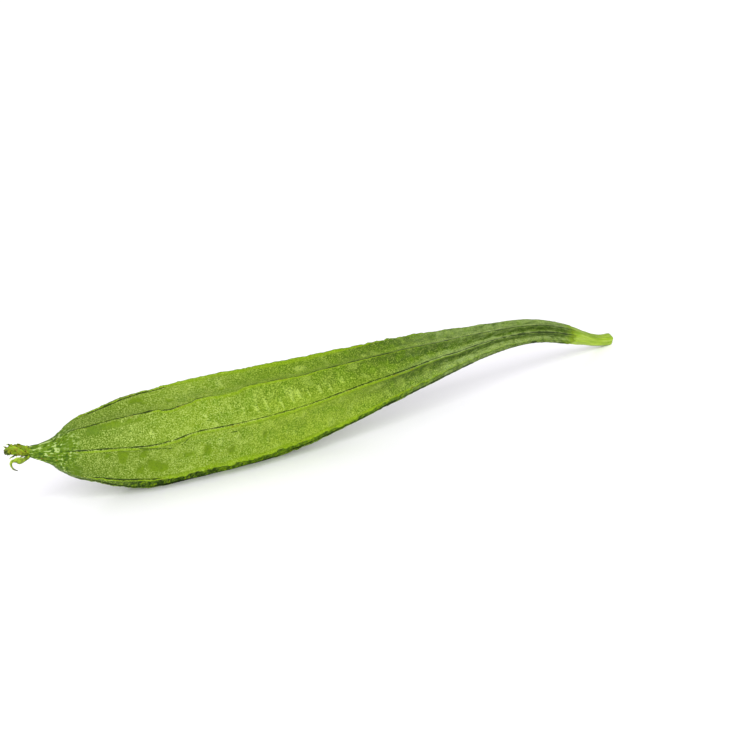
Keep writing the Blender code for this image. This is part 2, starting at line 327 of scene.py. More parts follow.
def make_mesh(name, rings, **attributes):
    """A closed grid of quads from ring to ring, with a fan of triangles over each end."""
    count, columns = rings.shape[:2]
    ends = np.array([rings[0].mean(axis=0), rings[-1].mean(axis=0)])
    points = np.concatenate((rings.reshape(-1, 3), ends)) * MM
    here = np.arange(count * columns).reshape(count, columns)
    beside = np.roll(here, -1, axis=1)
    quads = np.stack((here[:-1], beside[:-1], beside[1:], here[1:]), axis=-1).reshape(-1, 4)
    hub = np.full(columns, count * columns)
    start_fan = np.stack((beside[0], here[0], hub), axis=1)
    end_fan = np.stack((here[-1], beside[-1], hub + 1), axis=1)
    mesh = bpy.data.meshes.new(name)
    mesh.from_pydata(points.tolist(), [], quads.tolist() + start_fan.tolist() + end_fan.tolist())
    for label, values in attributes.items():
        held = mesh.attributes.new(label, "FLOAT", "POINT")
        values = values.reshape(-1)
        tips = (values[:columns].mean(), values[-columns:].mean())
        held.data.foreach_set("value", np.concatenate((values, tips)).astype(np.float32))
    mesh.shade_smooth()
    return add_object(name, mesh)


class RindGrid:
    """The points of the rind: rings along it, in ten panels that run from crest to crest.

    share goes from 0 on a crest to 1 on the next, and columns crowd to both by a hyperbolic
    sine. off is the way from the nearer crest in millimetres, and below is that way counted
    down the side it leans to. fall goes from 0 on the upper crest to 1 on the lower one. The
    base is the radius times 1 - depth * (1 - |2t - 1| ^ roundness), with t from edge to edge.
    """

    def __init__(self):
        self.distance, points, radius = follow(FRUIT_STATIONS, FRUIT_RINGS, RING_CROWDING)
        slack = 1 - ramp(self.distance, 0, NIPPLE_TIP)
        self.points = points - NIPPLE_REACH * slack[:, None] * section_axes(points)[0]
        radius = radius - NIPPLE_THINNING * slack
        crests = crest_angles(self.distance)
        gaps = np.diff(crests, append=crests[:, :1] + 360)[..., None]
        x = np.arange(PANEL_COLUMNS) / PANEL_COLUMNS * 2 - 1
        crowded = np.sinh(COLUMN_CROWDING * (1 - abs(x))) / np.sinh(COLUMN_CROWDING)
        self.shape = (len(self.distance), len(RIDGE_ANGLES), PANEL_COLUMNS)
        self.share = np.broadcast_to(0.5 + 0.5 * np.sign(x) * (1 - crowded), self.shape)
        self.ridge = np.arange(len(RIDGE_ANGLES))[None, :, None]
        self.angle = crests[..., None] + self.share * gaps
        self.turn = self.angle / 360 % 1
        self.s = np.broadcast_to(self.distance[:, None, None], self.shape)
        self.r = np.broadcast_to(radius[:, None, None], self.shape)
        self.thin = np.clip(self.r / FULL_RADIUS, 0.4, 1)
        arc = np.radians(gaps) * self.r
        self.off = np.where(self.share < 0.5, self.share, self.share - 1) * arc
        self.below = self.off * self.nearer(RIDGE_LEANS)
        self.fall = np.where(self.ridge < FIRST_BACK_RIDGE, self.share, 1 - self.share)
        self.ragged = cloud(self.s / 2.3, self.turn, 36, 5)
        self.ragged += 0.6 * cloud(self.s / 1.1, self.turn, 60, 6)
        inward = np.clip((abs(self.off) - CREST_WIDTH / 2) / (arc - CREST_WIDTH), 0, 0.5)
        depth = spline(*zip(*HOLLOW_DEPTH), self.distance)[:, :, None]
        self.base = self.r * (1 - depth * (1 - (1 - 2 * inward) ** PANEL_ROUNDNESS))

    def nearer(self, values):
        """Each point's value out of one for every ridge: that of the nearer crest."""
        following = np.roll(values, -1, axis=-1)
        return np.where(self.share < 0.5, values[..., None], following[..., None])


def crest_relief(grid):
    """A thread on each crest, a trench under it, a groove over it, and an edge frayed by noise.

    Each is a bell of the way below the crest. The fraying is strongest on the lowest crests.
    """
    s, turn, thin = grid.s, grid.turn, grid.thin
    proud = 0.75 + 0.6 * cloud(s / 6, turn, 12, 4)
    height, place, width = CREST_THREAD
    thread = height * proud * bell(grid.below - place, width * thin)
    height, place, width = CREST_TRENCH
    trench = height * bell(grid.below - place * thin, width)
    height, place, width = CREST_GROOVE
    grooved = ramp(cloud(s / 8, turn, 10, 8), -0.8, 0)
    groove = height * bell(grid.below - place * thin, width * thin) * grooved
    wild = ramp(cloud(s / 17, turn, 10, 3), -0.1, 0.7)
    lowest = bell(abs((grid.angle + 180) % 360 - 180) - 130, 14) * ramp(s, 50, 62)
    frayed = (0.16 + 0.22 * wild + 0.4 * lowest) * grid.ragged * bell(grid.below - 0.3, 0.9)
    return ramp(s, 10, 30) * thin * (thread - trench - groove + frayed)


def hollow_relief(grid):
    """Folds, swells, dents, puckers and a rib up the neck; then the dents' marks and where light
    and shade are painted on the relief.

    Folds and swells are noise times sin(pi * share) ^ 1.2. A pucker is 1.6 m - 0.6 m ^ 0.25 of
    its mark m, which leaves a sunk rim round it. The rib is a bell of the fall.
    """
    s, turn, share = grid.s, grid.turn, grid.share
    middle = np.sin(np.pi * share) ** 1.2
    bowed = 2.4 * np.sin(np.pi * share)
    belly = ramp(s, 40, 80) * (1 - ramp(s, 170, 250))
    folds = cloud((s + bowed) / 4.3, turn, 15, 7) * (0.4 + 0.6 * cloud(s / 16, turn, 14, 9))
    swell = cloud(s / 11, turn, 20, 13)
    warp = 0.9 * cloud(s / 2.6, turn, 40, 15)
    dents = oval_marks(DENTS, 4, s + warp, grid.angle + 4 * warp, grid.r)
    at_back = ramp(abs(grid.angle - 240), 95, 70) * ramp(s, 20, 35)
    back_dents = ramp(cloud(s / 5.5 + 0.5 * warp, turn, 26, 11), 0.55, 0.9) * at_back
    dents = np.maximum(dents, back_dents * (1 - ramp(s, 120, 190)))
    puckers = oval_marks(PUCKERS, 2, s + 0.4 * warp, grid.angle, grid.r)
    puckers = 1.6 * puckers - 0.6 * puckers ** 0.25
    rib = bell(grid.fall - 0.54, 0.12) * ramp(s, 165, 215) * (1 - ramp(s, 290, 335))
    relief = middle * (FOLD_HEIGHT * belly * folds + SWELL_HEIGHT * swell * grid.thin)
    relief = relief - DENT_DEPTH * dents + PUCKER_HEIGHT * puckers + NECK_RIB_SHARE * grid.r * rib
    # Painted highlights go where this is high, on raised folds, swells and puckers; painted shade
    # where it sinks.
    light = 1.3 * belly * middle * folds + 1.5 * puckers + 0.5 * middle * swell
    return ramp(s, 12, 30) * relief, dents, light


def nipple_relief(grid):
    """Lengthwise lines and small warts on the nipple, by noise; then the warts' own marks."""
    lines = cloud(grid.s / 6, grid.turn, 30, 17) * (1 - ramp(grid.s, 10, 24))
    warts = cloud(grid.s / 1.5, grid.turn, 20, 19) * (1 - ramp(grid.s, 13, 26))
    return ramp(grid.s, 0, 2) * (NIPPLE_LINE_HEIGHT * lines + WART_HEIGHT * warts), warts


def edge_relief(grid):
    """The drop of the rind's edge onto the stem, along a line that strays by noise."""
    edge = grid.distance[-1] - EDGE_SETBACK + EDGE_STRAY * cloud(0.5, grid.turn, 17, 25)
    return -EDGE_DROP * ramp(grid.s, edge - 1, edge + 2)


def crest_marks(grid):
    """Each crest's line width, its bright lip, and the strip of hollow under one of them, which
    takes painted shade.
    """
    widths = along_ridges(grid.distance, LINE_WIDTHS, USUAL_LINE_WIDTH, 21)
    lips = along_ridges(grid.distance, LIP_WIDTHS, USUAL_LIP_WIDTH, 22)
    reach = grid.off * grid.nearer(LIP_SIDES) / np.maximum(grid.nearer(lips), 0.05)
    lip = ramp(reach, 1.7, 0.5) * ramp(reach, -0.15, 0)
    upper_edge = ramp(grid.below + 0.5 * grid.ragged, -0.4, 0.3)
    strip = np.where(grid.share < 0.5, upper_edge, ramp(grid.share, 1, 0.9))
    strip = (grid.ridge == STRIP_RIDGE) * strip * ramp(grid.s, 34, 52)
    # The strip's painted shade is lighter up the neck.
    strip = strip * (1 - 0.4 * ramp(grid.s, 175, 235))
    return {"line": grid.nearer(widths), "lip": lip, "strip": strip}


def grow_rind():
    """The rind over the solid fruit: its hollowed base and the relief of every part of it."""
    grid = RindGrid()
    hollows, dents, light = hollow_relief(grid)
    nipple, warts = nipple_relief(grid)
    radii = grid.base + (crest_relief(grid) + hollows + nipple + edge_relief(grid))
    axes = section_axes(grid.points)
    flat = (grid.shape[0], -1)
    rings = sections(grid.points, axes, grid.angle.reshape(flat), radii.reshape(flat))
    rings[..., 2] = np.maximum(rings[..., 2], 0)
    mesh = make_mesh("rind", rings, along=grid.s, below=grid.below, fall=grid.fall,
                     thin=grid.thin, top=np.cos(2 * np.pi * grid.turn),
                     front=np.sin(2 * np.pi * grid.turn), dent=dents, light=light, wart=warts,
                     **crest_marks(grid), side_line=side_line_marks(grid.s, grid.angle, grid.r))
    return mesh, grid.distance[-1], axes[0][-1]


rind, rind_length, neck_direction = grow_rind()


class Value:
    """A number, vector or colour on its way through a material. Arithmetic adds Math nodes."""

    def __init__(self, finish, socket):
        self.finish = finish
        self.socket = socket

    def math(self, operation, *others):
        inputs = dict(enumerate((self, *others)))
        return self.finish.node("ShaderNodeMath", {"operation": operation}, inputs)

    def __add__(self, other):
        return self.math("ADD", other)

    def __sub__(self, other):
        return self.math("SUBTRACT", other)

    def __rsub__(self, other):
        return self.finish.node("ShaderNodeMath", {"operation": "SUBTRACT"}, {0: other, 1: self})

    def __mul__(self, other):
        return self.math("MULTIPLY", other)

    def __truediv__(self, other):
        return self.math("DIVIDE", other)

    def __abs__(self):
        return self.math("ABSOLUTE")

    __radd__ = __add__
    __rmul__ = __mul__

    def step(self, low, high):
        """0 where the value is low, 1 where it is high, smooth between. Low may be above high."""
        inputs = {"Value": self, "From Min": low, "From Max": high}
        return self.finish.node("ShaderNodeMapRange", {"interpolation_type": "SMOOTHSTEP"}, inputs)


def linear_light(screen_colour):
    """A screen colour from 0 to 255 as linear light, opaque."""
    screen = np.array(screen_colour) / 255
    light = np.where(screen <= 0.04045, screen / 12.92, ((screen + 0.055) / 1.055) ** 2.4)
    return (*light.tolist(), 1)


class Finish:
    """A Principled material, its base colour so far, and the ways to add nodes to it."""

    def __init__(self, name, **shader_values):
        self.material = bpy.data.materials.new(name)
        self.material.use_nodes = True
        self.tree = self.material.node_tree
        self.shader = self.tree.nodes["Principled BSDF"]
        self.colour = None
        for socket, value in shader_values.items():
            self.shader.inputs[socket.replace("_", " ")].default_value = value

    def feed(self, socket, value):
        if isinstance(value, Value):
            self.tree.links.new(value.socket, socket)
        else:
            socket.default_value = value

    def node(self, kind, settings, inputs, output=0):
        """Any node: its settings first, then the values or links of its sockets."""
        added = self.tree.nodes.new(kind)
        for name, value in settings.items():
            setattr(added, name, value)
        for name, value in inputs.items():
            self.feed(added.inputs[name], value)
        return Value(self, added.outputs[output])

    def attribute(self, name):
        return self.node("ShaderNodeAttribute", {"attribute_name": name}, {}, "Fac")

    def position(self):
        """The place on the piece, in metres."""
        return self.node("ShaderNodeTexCoord", {}, {}, "Object")

    def stretched(self, scale):
        """The place with each axis scaled, so that a pattern is drawn out where it is below 1."""
        inputs = {0: self.position(), 1: scale}
        return self.node("ShaderNodeVectorMath", {"operation": "MULTIPLY"}, inputs)

    def unrolled(self, lengthwise, sideways):
        """The distance along and the turn round the piece as a place, each scaled to metres."""
        across = [sideways * self.attribute(name) for name in ("top", "front")]
        inputs = {0: lengthwise * self.attribute("along"), 1: across[0], 2: across[1]}
        return self.node("ShaderNodeCombineXYZ", {}, inputs)

    def noise(self, place, size, detail=2, roughness=0.5):
        """Noise from 0 to 1 with features of about that size in metres."""
        inputs = {"Vector": place, "Scale": 1 / size, "Detail": detail, "Roughness": roughness}
        return self.node("ShaderNodeTexNoise", {}, inputs)

    def mix(self, share, first, second):
        """The first colour where the share is 0 and the second where it is 1.

        Each is a Value, or red, green and blue as a screen shows them, from 0 to 255.
        """
        first, second = (c if isinstance(c, Value) else linear_light(c) for c in (first, second))
        inputs = {0: share, 6: first, 7: second}
        return self.node("ShaderNodeMix", {"data_type": "RGBA"}, inputs, 2)

    def tint(self, share, colour):
        """Lays a colour over the colour so far, by a share of 0 to 1."""
        self.colour = self.mix(share, self.colour, colour)

    def bump(self, height, distance, strength=1):
        """Feeds the shader's normal: a height of 1 stands for that many metres."""
        inputs = {"Strength": strength, "Distance": distance, "Height": height}
        self.feed(self.shader.inputs["Normal"], self.node("ShaderNodeBump", {}, inputs))

    def paint(self, socket, value):
        self.feed(self.shader.inputs[socket], value)


def tint_nipple(finish, along, dent, patchy, fibre):
    """Dark green lines with pale painted wet glints and a few brown flecks, all drawn out
    lengthwise.
    """
    nipple = (along + 5 * (patchy - 0.5)).step(23, 13) * (1 - 0.75 * dent)
    finish.tint(nipple * 0.75, (84, 116, 0))
    drawn = finish.noise(finish.stretched((0.28, 1, 1)), 0.001)
    finish.tint(drawn.step(0.5, 0.38) * nipple * 0.85, (46, 78, 0))
    # Pale painted glints on the nipple.
    wet_glints = (drawn + 0.45 * (fibre - 0.5) + 0.06 * finish.attribute("wart")).step(0.565, 0.645)
    finish.tint(wet_glints * nipple * 0.8, (168, 188, 116))
    brown = finish.noise(finish.stretched((0.6, 1, 1)), 0.0016)
    finish.tint(brown.step(0.68, 0.72) * nipple * 0.6, (122, 96, 14))


def tint_crests(finish, along, fall, fringe, speckle):
    """Side lines, patches of rust, and the dark line over every crest, which is the crest's dark
    edge and partly painted shade in the groove over it.

    That line shows where |below + 0.75 * thin + noise| is less than its width times noise.
    """
    place = finish.position()
    below = finish.attribute("below")
    side_line = (finish.attribute("side_line") + 0.8 * (fringe - 0.5)).step(0.35, 0.75)
    finish.tint(side_line * 0.8, (40, 66, 0))
    wander = (fringe - 0.5) * 1.5
    by_crest = along.step(7, 19) * abs(fall - 0.5).step(0.11, 0.17)
    rust = (finish.noise(place, 0.004) + 0.25 * (speckle - 0.5)).step(0.63, 0.72)
    rust = rust * abs(below + wander * 0.4).step(0.9, 0.2)
    finish.tint(rust * by_crest * 0.45, (112, 92, 6))
    width = finish.attribute("line")
    thick = finish.noise(place, 0.005, detail=3).step(0.36, 0.68)
    reach = width * (0.55 + 1.1 * thick) + 0.04
    frayed = below + 0.75 * finish.attribute("thin") + wander * 0.35 + (speckle - 0.5) * 0.7
    line = (abs(frayed) / reach).step(1.1, 0.4) * width.step(0.02, 0.12)
    finish.tint(line * by_crest * 0.92, (20, 38, 0))


def tint_edge(finish, along, length, patchy, fibre, speckle):
    """The rind gives way to the yellow-green of the stem, in tongues with brown flecks."""
    tongues = along + 16 * (fibre - 0.5) + 6 * (patchy - 0.5)
    finish.tint(tongues.step(length - 12, length - 2) * 0.9, (118, 148, 14))
    rim = abs(tongues - length + 3.5).step(2.4, 0.4) * speckle.step(0.5, 0.6)
    finish.tint(rim * 0.6, (112, 88, 10))


def rind_finish(length):
    """Satin rind: yellow-green on the belly, darker and greyer up the neck, finely speckled.

    A dark line runs on the upper side of each crest, its own edge and partly painted shade, with a
    bright yellow-green edge under it. Dents are smooth and deep green, puckers carry painted
    highlights, and the nipple has painted wet glints. Painted shade lies under the crests, on the
    shoulder, the underside and one strip, with a painted pool of light on the flank and painted
    sheen up the neck.
    """
    finish = Finish("rind", Specular_IOR_Level=0.12)

    # Patterns and places that several colours share.
    place = finish.position()
    along = finish.attribute("along")
    fall = finish.attribute("fall")
    top = finish.attribute("top")
    far_neck = along.step(175, 255)
    broad = finish.noise(place, 0.013).step(0.3, 0.7)
    patchy = finish.noise(place, 0.0042, detail=3)
    fringe = finish.noise(place, 0.0022, detail=4, roughness=0.65)
    speckle = finish.noise(place, 0.00065, detail=3, roughness=0.7)
    fibre = finish.noise(finish.unrolled(0.00022, 0.0075), 0.0011, detail=3, roughness=0.6)
    dent = finish.attribute("dent") + 1.1 * (patchy - 0.5) + 0.7 * (fringe - 0.5)
    dent = dent.step(0.15, 0.9)

    # The ground colour along the fruit: duller on the shoulder, with painted shade there that is
    # deepest on its top, yellower past it, then the neck.
    finish.colour = finish.mix(broad, (112, 137, 16), (124, 148, 38))
    shoulder = along.step(84, 22)
    finish.tint(shoulder * 0.85, (86, 110, 18))
    finish.tint(shoulder * top.step(0.25, 0.6) * 0.1, (58, 84, 6))
    finish.tint(along.step(85, 135) * 0.4, (106, 134, 0))
    neck = finish.mix(broad, (68, 93, 8), (83, 108, 22))
    finish.tint(along.step(105, 205), neck)

    # Round the fruit: painted shade in a band under the crests, a painted pool of light on the
    # flank, a deep green top, and painted shade on the underside.
    # Painted shade right under each crest, faint on the belly and deep up the neck.
    crest_shade = (fall + 0.25 * (patchy - 0.5)).step(0.66, 0.42)
    banded = along.step(140, 215)
    shaded = along.step(80, 125) * top.step(0.3, 0.5) * 0.3
    finish.tint(crest_shade * (shaded * (1 - banded) + banded * 0.82), (38, 64, 0))
    # A painted pool of light on the belly's sides, which face the light.
    lit_flank = top.step(0.5, 0.1) * along.step(105, 140)
    finish.tint(lit_flank * along.step(192, 165) * 0.34, (146, 172, 40))
    crown = top.step(0.45, 0.85) * along.step(82, 120)
    finish.tint(crown * along.step(192, 155) * 0.4, (84, 116, 0))
    # Painted shade on the underside.
    finish.tint(top.step(-0.62, -0.8) * 0.6, (70, 100, 4))

    # The strip under the lowest front crest: its dark ground is painted shade, lighter further
    # along, and its dark and light hatching comes further down.
    strip = finish.attribute("strip")
    hatch = finish.noise(finish.stretched((1, 0.5, 0.5)), 0.0019, detail=3, roughness=0.65)
    late = along.step(70, 110)
    finish.tint(strip * 0.92, finish.mix(late, (62, 92, 0), (90, 126, 0)))

    # A grey painted sheen with wax bloom on the neck's top and hollows, painted highlights on
    # puckers and folds, painted shade where they sink, and mottling.
    wax_and_sheen = 0.75 * top.step(0.45, 0.95) + fall.step(0.58, 0.72)
    finish.tint(wax_and_sheen * along.step(185, 255) * 0.8, (130, 150, 84))
    # Painted highlights on the raised relief, painted shade where it sinks.
    light = finish.attribute("light")
    lit = (light + 1.3 * (patchy - 0.5)).step(0.25, 1.05)
    finish.tint(lit * 0.72, (164, 188, 82))
    sunk = (light + 1.8 * (patchy - 0.5)).step(-0.05, -0.7)
    finish.tint(sunk * 0.6, (86, 116, 0))
    mottled = finish.noise(place, 0.0062)
    worn = along.step(50, 80) * (1 - 0.6 * far_neck) * (1 - strip)
    finish.tint(mottled.step(0.5, 0.36) * worn * 0.5, (92, 126, 0))
    finish.tint(mottled.step(0.54, 0.68) * worn * 0.4, (150, 174, 70))

    # The bright lips, then fine speckle, which fades on them and where the rind is dented; its
    # pale specks are partly painted glints, more of them where painted light falls.
    lip = (finish.attribute("lip") + 1.1 * (fringe - 0.5)).step(0.2, 0.9)
    finish.tint(lip * (0.85 - 0.55 * far_neck), (116, 145, 0))
    smooth = 0.65 * dent + 0.5 * lip + 0.6 * strip + 0.5 * crest_shade * banded
    grain = (1 - smooth) * (0.8 + 0.9 * (patchy - 0.5) + 0.5 * lit)
    middle = along.step(85, 125) * (1 - far_neck)
    pale = finish.mix(middle * 0.8, (160, 180, 90), (154, 177, 58))
    finish.tint(speckle.step(0.48, 0.64) * grain, pale)
    sap = finish.mix(fringe.step(0.35, 0.65), (84, 110, 0), (98, 126, 0))
    sap = finish.mix(along.step(38, 26) * 0.45, sap, (62, 94, 0))
    finish.tint(dent * 0.82, sap)
    finish.tint(speckle.step(0.5, 0.36) * (0.25 + 0.6 * grain), (62, 94, 0))

    # Lengthwise fibres and a painted sheen along a rib's edge on the neck, and the strip's
    # hatching.
    pale_fibre = fibre.step(0.5, 0.7) * far_neck
    finish.tint(pale_fibre * (0.7 - 0.35 * crest_shade), (142, 164, 96))
    rib_sheen = fall.step(0.72, 0.86) * abs(top - 0.25).step(0.3, 0.15) * far_neck
    finish.tint(rib_sheen * 0.4, (158, 178, 112))
    finish.tint(fibre.step(0.5, 0.3) * far_neck * 0.75, (42, 68, 0))
    finish.tint(hatch.step(0.52, 0.4) * strip * (0.85 - 0.35 * late), (24, 48, 0))
    finish.tint(hatch.step(0.54, 0.64) * strip * 0.75, (138, 170, 6))

    tint_nipple(finish, along, dent, patchy, fibre)
    tint_crests(finish, along, fall, fringe, speckle)
    tint_edge(finish, along, length, patchy, fibre, speckle)
    finish.paint("Base Color", finish.colour)
    finish.paint("Roughness", 0.4 + 0.28 * speckle - 0.08 * dent + 0.2 * strip)
    finish.bump(speckle * (0.3 + 0.7 * grain) + 1.2 * hatch * strip, 0.0004, 0.9)
    return finish.material


rind.data.materials.append(rind_finish(rind_length))
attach(rind, "root")
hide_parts("fruit")

# ----------
# The stem. A ribbed green stalk that grows out of the neck, with the rind's dark tongues running
# a little way onto it. It was cut off with a knife, and the cut shows pale pith.

STEM_END = (184.8, 35, 3)
STEM_END_DIRECTION = (0.94, 0.33, -0.08)
STEM_RADII = [(0, 5), (3.5, 4.95), (6.5, 4.8), (11.5, 4.15), (17.5, 3.65), (27.5, 3.3), (36, 3.3)]
STEM_ROOT = 3.5
STEM_RINGS = 220
STEM_PANEL_COLUMNS = 14
STEM_RIBS = 5
STEM_RIB_SHARE = 0.05
STEM_HOLLOW_DEPTH = 0.13
STEM_FIBRE_HEIGHT = 0.1
STEM_KNOT_HEIGHT = 0.12
STEM_BEVEL = 0.4
# The rings that close the cut: the share of the stem's radius that each has.
CUT_SHARES = np.array([0.97, 0.88, 0.75, 0.6, 0.45, 0.3, 0.15])


def stem_line(count):
    """Distance along and points of a Hermite cubic from inside the neck to the cut.

    It leaves in the neck's own direction and arrives in the stem's end direction.
    """
    neck_end = np.array(FRUIT_STATIONS[-1][:3])
    end = np.array(STEM_END)
    end_direction = np.array(STEM_END_DIRECTION) / np.linalg.norm(STEM_END_DIRECTION)
    start = neck_end - STEM_ROOT * neck_direction
    length = np.linalg.norm(end - start)
    t = np.linspace(0, 1, count)[:, None]
    line = (2 * t ** 3 - 3 * t ** 2 + 1) * start + (3 * t ** 2 - 2 * t ** 3) * end
    line += (t ** 3 - 2 * t ** 2 + t) * length * neck_direction
    line += (t ** 3 - t ** 2) * length * end_direction
    steps = np.linalg.norm(np.diff(line, axis=0), axis=1)
    return np.concatenate(([0], np.cumsum(steps))), line


def grow_stem():
    """The stalk: it takes over the neck's hollows, which give way to ribs, with fibres on both.

    The radius is multiplied by 1 - depth * (1 - |2t - 1| ^ roundness) near the neck, and by
    1 + rib share * cos(ribs * angle) beyond. Rings past the last one run inwards over the cut,
    which is dished by a parabola.
    """
    distance, line = stem_line(STEM_RINGS)
    axes = section_axes(line)
    radius = spline(*zip(*STEM_RADII), distance)
    crests = crest_angles(np.array([rind_length]))
    gaps = np.diff(crests[0], append=crests[0, 0] + 360)
    share = np.arange(STEM_PANEL_COLUMNS) / STEM_PANEL_COLUMNS
    angles = (crests[0][:, None] + gaps[:, None] * share).ravel()
    hollow = np.tile(1 - abs(2 * share - 1) ** PANEL_ROUNDNESS, len(gaps))
    turn = np.tile(angles / 360 % 1, (STEM_RINGS, 1))
    s = np.broadcast_to(distance[:, None], turn.shape)
    rooted = 1 - ramp(s, 3, 18)
    ribs = 1 + STEM_RIB_SHARE * np.cos(2 * np.pi * STEM_RIBS * turn) * (1 - rooted)
    ribs = ribs * (1 - STEM_HOLLOW_DEPTH * rooted * hollow)
    fibres = STEM_FIBRE_HEIGHT * (cloud(s / 9, turn, 30, 23) + 0.5 * cloud(s / 3, turn, 60, 29))
    knots = STEM_KNOT_HEIGHT * cloud(s / 4, turn, 9, 31)
    swelling = (fibres + knots) * ramp(s, 3, 6)
    rings = sections(line, axes, np.tile(angles, (STEM_RINGS, 1)), radius * ribs + swelling)
    dish = STEM_BEVEL * (1 - 1.1 * (1 - CUT_SHARES ** 2))
    cut = line[-1] + (rings[-1] - line[-1]) * CUT_SHARES[:, None, None]
    cut = cut + dish[:, None, None] * axes[0][-1]
    rings = np.concatenate((rings, cut))
    rings[..., 2] = np.maximum(rings[..., 2], 0)
    beyond = distance[-1] + radius[-1] * (1 - CUT_SHARES)
    along = np.broadcast_to(np.concatenate((distance, beyond))[:, None], rings.shape[:2])
    turns = np.broadcast_to(np.radians(angles), rings.shape[:2])
    mesh = make_mesh("stalk", rings, along=along, top=np.cos(turns), front=np.sin(turns))
    return mesh, distance[-1]


def stalk_finish(length):
    """Yellow-green with light and dark lengthwise streaks, and a pale cut with a green edge."""
    finish = Finish("stalk", Roughness=0.5, Specular_IOR_Level=0.25)
    along = finish.attribute("along")
    streak = finish.noise(finish.unrolled(0.0001, 0.004), 0.0014, detail=3)
    fine = finish.noise(finish.unrolled(0.0001, 0.004), 0.0006)
    mottle = finish.noise(finish.position(), 0.0012, detail=3)
    upper = finish.attribute("top").step(-0.2, 0.8)
    finish.colour = finish.mix(upper, (140, 168, 34), (118, 148, 6))
    finish.tint(streak.step(0.5, 0.68) * 0.7, (162, 186, 66))
    finish.tint(streak.step(0.48, 0.34) * 0.6, (98, 130, 2))
    finish.tint(fine.step(0.5, 0.7) * 0.5, (170, 192, 88))
    finish.tint(mottle.step(0.66, 0.72) * 0.5, (120, 96, 14))
    pith = (along + 0.8 * (mottle - 0.5)).step(length + 0.7, length + 1.3)
    finish.tint(along.step(length + 0.25, length + 0.6), (150, 172, 70))
    finish.tint(pith, (202, 210, 158))
    finish.paint("Base Color", finish.colour)
    finish.bump(fine, 0.0003, 0.8)
    return finish.material


stalk, stalk_length = grow_stem()
stalk.data.materials.append(stalk_finish(stalk_length))
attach(stalk, "root")
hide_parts("stem")

# ----------
# The withered blossom. The flower dried on the nipple to a crumpled brown-green stub, with the
# ragged remains of its petals twisted round it. A few short dry threads stick out.

STUB_STATIONS = [
    (-172.4, -13.7, 30.3, 2),
    (-174.4, -13.7, 30.8, 2),
    (-177.3, -13.6, 32, 2.5),
    (-181, -13.5, 33, 2.3),
    (-184, -13.6, 33, 1.6),
    (-186, -13.8, 32.3, 0.8),
]
STUB_RINGS = 110
STUB_COLUMNS = 96
STUB_FOLDS = 5
STUB_FOLD_SHARE = 0.13
STUB_TWIST = 6.0
# Noise that crumples the stub: height, length, cells round it and seed.
STUB_CRUMPLES = [(0.4, 2.1, 9, 37), (0.28, 0.9, 19, 41), (0.12, 0.5, 34, 43)]
STUB_END = -186.1
# Petal remains: where each starts round the stub, its first and last distance, and half width.
PETALS = [(20, 0.6, 12.6, 1.3), (85, 1.2, 13.6, 1.1), (150, 0.4, 11.4, 1.4),
          (205, 1.6, 13.9, 1), (265, 0.8, 12.4, 1.3), (320, 1, 13.4, 1.1)]
PETAL_GUIDES = 200
PETAL_RINGS = 90
PETAL_COLUMNS = 24
PETAL_DEPTH = 0.92
PETAL_LIFT = 0.15
PETAL_THICKNESS = 0.13
THREAD_RINGS = 40
THREAD_COLUMNS = 10
# Dry threads: their points and their radii.
THREADS = [
    [(-180.2, -14.6, 31.4, 0.55), (-181.6, -14.9, 30.7, 0.5), (-183.2, -15, 30.2, 0.32),
     (-184.6, -15, 29.4, 0.12)],
    [(-175.4, -15.6, 29.6, 0.3), (-177.6, -16.6, 29.9, 0.24), (-179.6, -16.9, 29.7, 0.2),
     (-181, -16.6, 29.2, 0.1)],
    [(-184.6, -13.4, 34.8, 0.4), (-185.4, -13.5, 35.5, 0.28), (-185.9, -13.6, 36, 0.12)],
    [(-182.6, -13, 35.6, 0.42), (-183.4, -12.9, 36.2, 0.3), (-184.2, -12.8, 36.4, 0.12)],
    [(-175, -11.6, 29.8, 0.5), (-176.4, -10.8, 28.9, 0.4), (-177.6, -10.6, 27.6, 0.25),
     (-177.8, -10.8, 26.6, 0.1)],
]


def wither_stub():
    """The stub: its radius times 0.9 + fold share * cos(folds * turned angle), then crumpled."""
    distance, line, radius = follow(STUB_STATIONS, STUB_RINGS)
    angles = np.arange(STUB_COLUMNS) * 360 / STUB_COLUMNS
    turned = np.radians(angles + STUB_TWIST * distance[:, None])
    s = np.broadcast_to(distance[:, None], turned.shape)
    turn = (turned / (2 * np.pi)) % 1
    folds = 0.9 + STUB_FOLD_SHARE * np.cos(STUB_FOLDS * turned)
    crumple = sum(height * cloud(s / length, turn, cells, seed)
                  for height, length, cells, seed in STUB_CRUMPLES)
    mass = radius[:, None] * folds + crumple * np.clip(radius[:, None] / 2, 0.3, 1)
    rings = sections(line, section_axes(line), np.tile(angles, (STUB_RINGS, 1)), mass)
    rings[..., 0] = np.maximum(rings[..., 0], STUB_END)
    return make_mesh("stub", rings, height=crumple, edge=0 * s, along=s)


